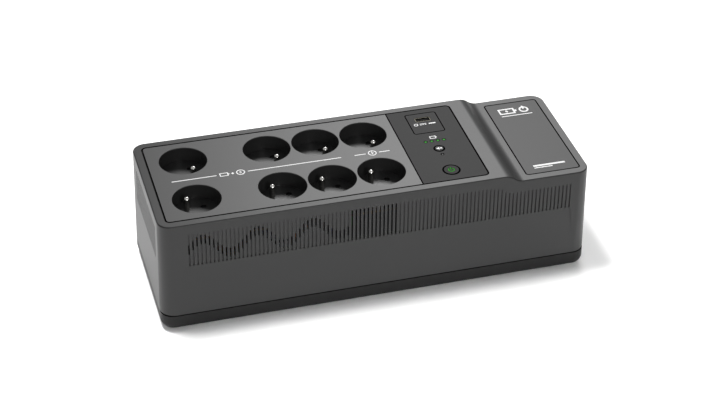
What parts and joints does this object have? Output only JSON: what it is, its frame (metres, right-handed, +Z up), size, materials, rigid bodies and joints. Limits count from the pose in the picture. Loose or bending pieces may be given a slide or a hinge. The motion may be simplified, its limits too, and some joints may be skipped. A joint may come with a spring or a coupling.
{
  "type": "uninterruptible power supply",
  "caption": "Long flat power supply case with recessed mains outlets in two rows, a control panel with buttons and status lights, and slotted vents along its sides.",
  "frame": {"origin": "middle of the case's footprint, on the floor", "axes": "+X along the length towards the lowered end, +Z up, the long front with the cut-through vents faces -Y"},
  "size_m": [0.3717, 0.1294, 0.1042],
  "materials": {
    "upper_housing": "fine satin grain",
    "base_tray": "satin",
    "outlet_plate": "satin",
    "control_panel": "satin",
    "trim_plate": "satin",
    "socket_block_left": "semi-gloss",
    "socket_block_main": "semi-gloss",
    "contact_carrier_left": "moulded",
    "contact_carrier_main": "moulded",
    "earth_pins": "nickel plated",
    "earth_bus": "tinned",
    "neutral_bus": "stamped",
    "live_bus_backup": "stamped",
    "live_bus_surge": "stamped",
    "shutter_1": "moulded",
    "shutter_2": "moulded",
    "shutter_3": "moulded",
    "shutter_4": "moulded",
    "shutter_5": "moulded",
    "shutter_6": "moulded",
    "shutter_7": "moulded",
    "shutter_8": "moulded",
    "usb_insert": "satin",
    "usb_shell": "plated",
    "usb_tongue": "moulded",
    "usb_contacts": "gold plated",
    "status_lenses": "translucent, lit",
    "alarm_lens": "translucent",
    "mute_button": "satin",
    "power_button": "satin",
    "power_icon_lens": "translucent, lit",
    "control_board": "solder mask",
    "tact_switches": "moulded",
    "status_leds": "clear",
    "buzzer": "moulded",
    "main_board": "solder mask",
    "transformer_bracket": "zinc plated",
    "transformer_core": "varnished laminations",
    "transformer_winding": "enamelled copper wire",
    "relays": "moulded",
    "capacitors": "sleeved",
    "heat_sink": "extruded",
    "power_transistors": "moulded",
    "choke": "enamelled copper wire on a ring",
    "fuse": "glass tube in a holder",
    "live_lead": "insulated",
    "neutral_lead": "insulated",
    "earth_lead": "insulated",
    "battery_case": "moulded",
    "battery_terminals": "tinned",
    "battery_lead_positive": "insulated",
    "battery_lead_negative": "insulated",
    "battery_door": "satin",
    "rubber_feet": "matt",
    "case_screws": "plated",
    "board_screws": "plated",
    "breaker_body": "moulded",
    "breaker_button": "moulded",
    "data_port": "moulded",
    "cord_gland": "matt"
  },
  "bodies": {
    "case": {"upper_housing": "upper_housing", "base_tray": "base_tray", "outlet_plate": "outlet_plate", "control_panel": "control_panel", "trim_plate": "trim_plate", "socket_block_left": "socket_block_left", "socket_block_main": "socket_block_main", "contact_carrier_left": "contact_carrier_left", "contact_carrier_main": "contact_carrier_main", "earth_pins": "earth_pins", "earth_bus": "earth_bus", "neutral_bus": "neutral_bus", "live_bus_backup": "live_bus_backup", "live_bus_surge": "live_bus_surge", "usb_insert": "usb_insert", "usb_shell": "usb_shell", "usb_tongue": "usb_tongue", "usb_contacts": "usb_contacts", "status_lenses": "status_lenses", "alarm_lens": "alarm_lens", "control_board": "control_board", "tact_switches": "tact_switches", "status_leds": "status_leds", "buzzer": "buzzer", "main_board": "main_board", "transformer_bracket": "transformer_bracket", "transformer_core": "transformer_core", "transformer_winding": "transformer_winding", "relays": "relays", "capacitors": "capacitors", "heat_sink": "heat_sink", "power_transistors": "power_transistors", "choke": "choke", "fuse": "fuse", "live_lead": "live_lead", "neutral_lead": "neutral_lead", "earth_lead": "earth_lead", "battery_case": "battery_case", "battery_terminals": "battery_terminals", "battery_lead_positive": "battery_lead_positive", "battery_lead_negative": "battery_lead_negative", "rubber_feet": "rubber_feet", "case_screws": "case_screws", "board_screws": "board_screws", "breaker_body": "breaker_body", "data_port": "data_port", "cord_gland": "cord_gland"},
    "power_button": {"power_button": "power_button", "power_icon_lens": "power_icon_lens"},
    "mute_button": {"mute_button": "mute_button"},
    "breaker_button": {"breaker_button": "breaker_button"},
    "battery_door": {"battery_door": "battery_door"},
    "shutter_1": {"shutter_1": "shutter_1"},
    "shutter_2": {"shutter_2": "shutter_2"},
    "shutter_3": {"shutter_3": "shutter_3"},
    "shutter_4": {"shutter_4": "shutter_4"},
    "shutter_5": {"shutter_5": "shutter_5"},
    "shutter_6": {"shutter_6": "shutter_6"},
    "shutter_7": {"shutter_7": "shutter_7"},
    "shutter_8": {"shutter_8": "shutter_8"}
  },
  "joints": [
    {"name": "power_press", "type": "slide", "parent": "case", "child": "power_button", "axis": [0, 0, -1], "range_m": [0, 0.001], "stiffness_N_per_m": 400, "springref_m": -0.001},
    {"name": "mute_press", "type": "slide", "parent": "case", "child": "mute_button", "axis": [0, 0, -1], "range_m": [0, 0.0008], "stiffness_N_per_m": 400, "springref_m": -0.001},
    {"name": "breaker_pop", "type": "slide", "parent": "case", "child": "breaker_button", "axis": [1, 0, 0], "range_m": [0, 0.003]},
    {"name": "battery_door_slide", "type": "slide", "parent": "case", "child": "battery_door", "axis": [1, 0, 0], "range_m": [0, 0.01]},
    {"name": "shutter_1_slide", "type": "slide", "parent": "case", "child": "shutter_1", "axis": [0.7071, -0.7071, 0], "range_m": [0, 0.0062], "stiffness_N_per_m": 60, "springref_m": -0.002},
    {"name": "shutter_2_slide", "type": "slide", "parent": "case", "child": "shutter_2", "axis": [-0.7071, 0.7071, 0], "range_m": [0, 0.0062], "stiffness_N_per_m": 60, "springref_m": -0.002},
    {"name": "shutter_3_slide", "type": "slide", "parent": "case", "child": "shutter_3", "axis": [0.7071, -0.7071, 0], "range_m": [0, 0.0062], "stiffness_N_per_m": 60, "springref_m": -0.002},
    {"name": "shutter_4_slide", "type": "slide", "parent": "case", "child": "shutter_4", "axis": [-0.7071, 0.7071, 0], "range_m": [0, 0.0062], "stiffness_N_per_m": 60, "springref_m": -0.002},
    {"name": "shutter_5_slide", "type": "slide", "parent": "case", "child": "shutter_5", "axis": [0.7071, -0.7071, 0], "range_m": [0, 0.0062], "stiffness_N_per_m": 60, "springref_m": -0.002},
    {"name": "shutter_6_slide", "type": "slide", "parent": "case", "child": "shutter_6", "axis": [-0.7071, 0.7071, 0], "range_m": [0, 0.0062], "stiffness_N_per_m": 60, "springref_m": -0.002},
    {"name": "shutter_7_slide", "type": "slide", "parent": "case", "child": "shutter_7", "axis": [0.7071, -0.7071, 0], "range_m": [0, 0.0062], "stiffness_N_per_m": 60, "springref_m": -0.002},
    {"name": "shutter_8_slide", "type": "slide", "parent": "case", "child": "shutter_8", "axis": [-0.7071, 0.7071, 0], "range_m": [0, 0.0062], "stiffness_N_per_m": 60, "springref_m": -0.002}
  ]
}
